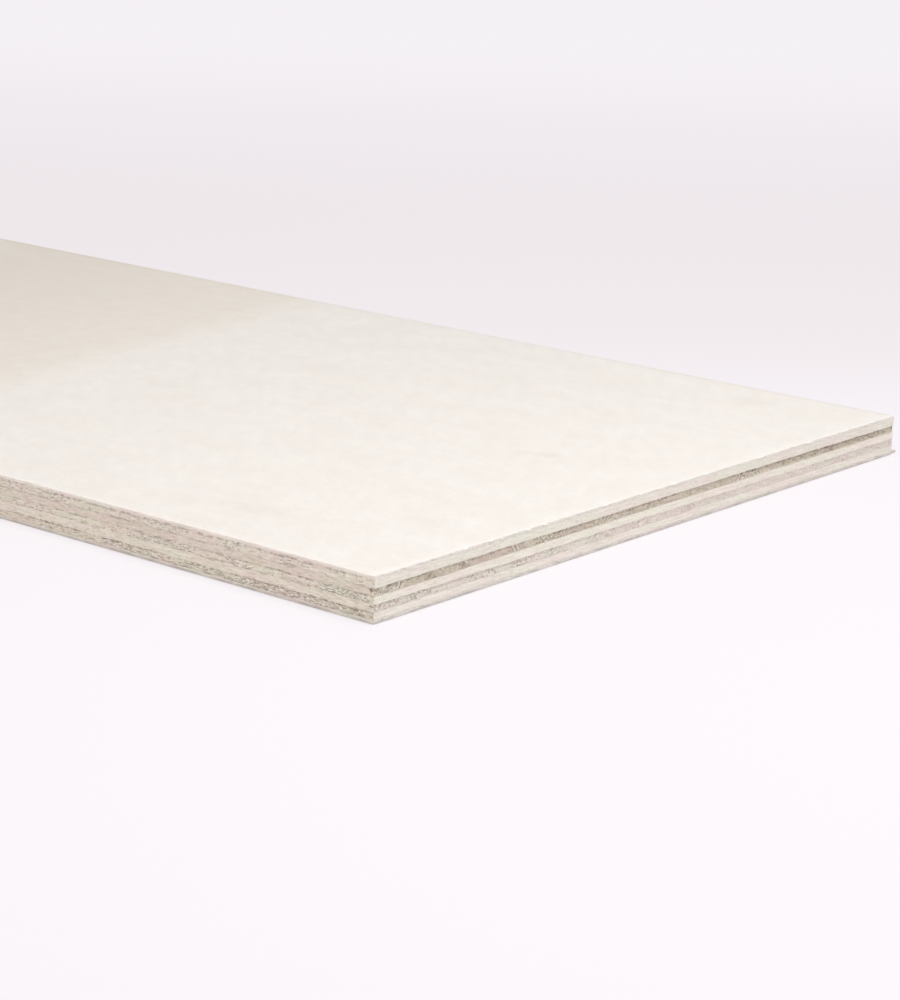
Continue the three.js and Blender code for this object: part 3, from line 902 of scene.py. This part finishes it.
# The splinter at the far corner of the near end: a bundle of torn strands of the back veneer that lean
# off the long side, thick at the root and ragged at the tip.
splinter = {
    "length": 16 * mm, "root": 3 * mm, "low": 0.04 * mm, "high": 1.26 * mm,
    "strands": 9, "strandWidth": 0.85 * mm, "rings": 14, "sides": 8, "seed": 5,
    "shortest": 0.55, "leastReach": 0.1,     # the innermost strand's shares of the length and the reach
    "overReach": 1.7 * mm,                   # how far the ragged tip stands past the solid one
    "tipInset": 0.3 * mm,                    # the middle of a strand lies that far short of the reach
    "fray": 0.25 * mm,                       # how unevenly the strands end
}


def splinterMesh(look, reach):
    rng = np.random.default_rng(look["seed"])
    points, faces = [], []
    rings, sides = look["rings"], look["sides"]
    end = halfLength - blank["overArris"]
    middle, half = (look["low"] + look["high"]) / 2, (look["high"] - look["low"]) / 2
    for strand in range(look["strands"]):
        share = strand / (look["strands"] - 1)
        length = look["length"] * (look["shortest"] * (1 - share) + share) * rng.uniform(0.85, 1.0)
        tip = reach * (look["leastReach"] * (1 - share) + share) - look["tipInset"]
        first = len(points)
        for ring in range(rings):
            t = ring / (rings - 1)
            x = end - length * (1 - t) - rng.uniform(0, look["fray"]) * (t == 1 and share < 1)
            y = halfWidth - 0.5 * look["root"] * (1 - t) ** 0.7 * (1 - share) + tip * t ** 2
            wide = 0.5 * look["strandWidth"] * (0.5 + 0.9 * t - 0.35 * t ** 6) * rng.uniform(0.9, 1.1)
            tall = half * (0.35 + 0.65 * t ** 0.6) * rng.uniform(0.93, 1.0)
            for corner in range(sides):
                turn = math.tau * corner / sides
                bulge = 1 + 0.1 * rng.uniform(-1, 1)
                points.append((x, y + wide * math.cos(turn) * bulge, middle + tall * math.sin(turn)))
        for ring in range(rings - 1):
            for corner in range(sides):
                a = first + ring * sides + corner
                b = first + ring * sides + (corner + 1) % sides
                faces.append((a, b, b + sides, a + sides))
        faces.append(tuple(range(first, first + sides))[::-1])
        faces.append(tuple(range(len(points) - sides, len(points))))
    mesh = bpy.data.meshes.new("splinter")
    mesh.from_pydata(points, [], faces)
    place = np.array(points) / mm
    marks = {"wall": 1, "shortEnd": 1, "endGrain": 0}
    addAttributes(mesh, "FACE", {label: np.full(len(faces), value) for label, value in marks.items()})
    corners = np.array([loop.vertex_index for loop in mesh.loops])
    edgeMap = place[corners][:, [0, 2]].astype(np.float32)
    mesh.uv_layers.new(name="edge").data.foreach_set("uv", edgeMap.ravel())
    return mesh


def sawPly(node, seam, look, tree):
    low, high = [corner[2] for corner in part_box(node)]
    lowest, highest = seam == 0, seam == len(layUp) - 1
    title = "".join(word.capitalize() for word in node.split("_"))
    name = title[0].lower() + title[1:]
    mesh = plyBlank(name, ringLevels(low, high, lowest, highest), look)
    edge = sawnPoplar("sawnPoplar" + title, look, seam, low, high)
    flat = sandedPoplar("sandedPoplar" + title, look) if "sanded" in look else edge
    for material in dict.fromkeys([edge, flat]):
        mesh.materials.append(material)
    piece = bpy.data.objects.new(name, mesh)
    bpy.context.collection.objects.link(piece)
    saw = piece.modifiers.new("saw", "NODES")
    saw.node_group = tree
    values = {
        "Grain Along": look["grainAlong"], "Seed": look["seed"],
        **dict(zip(("Low Seam", "Low Wander", "Low Sag"), seams[seam])),
        **dict(zip(("High Seam", "High Wander", "High Sag"), seams[seam + 1])),
        "Fuzz Size": (*look["fuzzSize"], 1.0), "Fuzz Depth": look["fuzzDepth"],
        "Pit Size": (*look["pitSize"], 1.0), "Pit Depth": look["pitDepth"], "Rut Depth": look["rutDepth"],
        "Streak Depth": look["streakDepth"], "Groove Depth": look["grooveDepth"],
        "Fibres": look["fibres"] / mm ** 2, "Fibre Length": look["fibreLength"] * mm,
        "Fibre Width": look["fibreWidth"] * mm, "Edge Material": edge, "Flat Material": flat,
    }
    for item in tree.interface.items_tree:
        if item.name in values:
            saw[item.identifier] = values[item.name]
    depsgraph = bpy.context.evaluated_depsgraph_get()
    piece.data = bpy.data.meshes.new_from_object(piece.evaluated_get(depsgraph))
    piece.modifiers.clear()
    if lowest:
        reach = cadHigh[1] - halfWidth + splinter["overReach"]
        sliver = bpy.data.objects.new("splinter", splinterMesh(splinter, reach))
        sliver.data.materials.append(edge)
        bpy.context.collection.objects.link(sliver)
        with bpy.context.temp_override(active_object=piece, selected_editable_objects=[piece, sliver]):
            bpy.ops.object.join()
    for slot in reversed(range(len(piece.data.materials))):
        if not piece.data.materials[slot]:
            piece.data.materials.pop(index=slot)
    piece.data.shade_smooth()
    piece.data.set_sharp_from_angle(angle=math.radians(blank["sharpAngle"]))
    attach(piece, "root")
    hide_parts(node)
    return piece


saw = sawnPlyTree()
plies = [sawPly(node, seam, look, saw) for seam, (node, look) in enumerate(layUp.items())]
print("plies sawn:", sum(len(ply.data.polygons) for ply in plies), "faces")
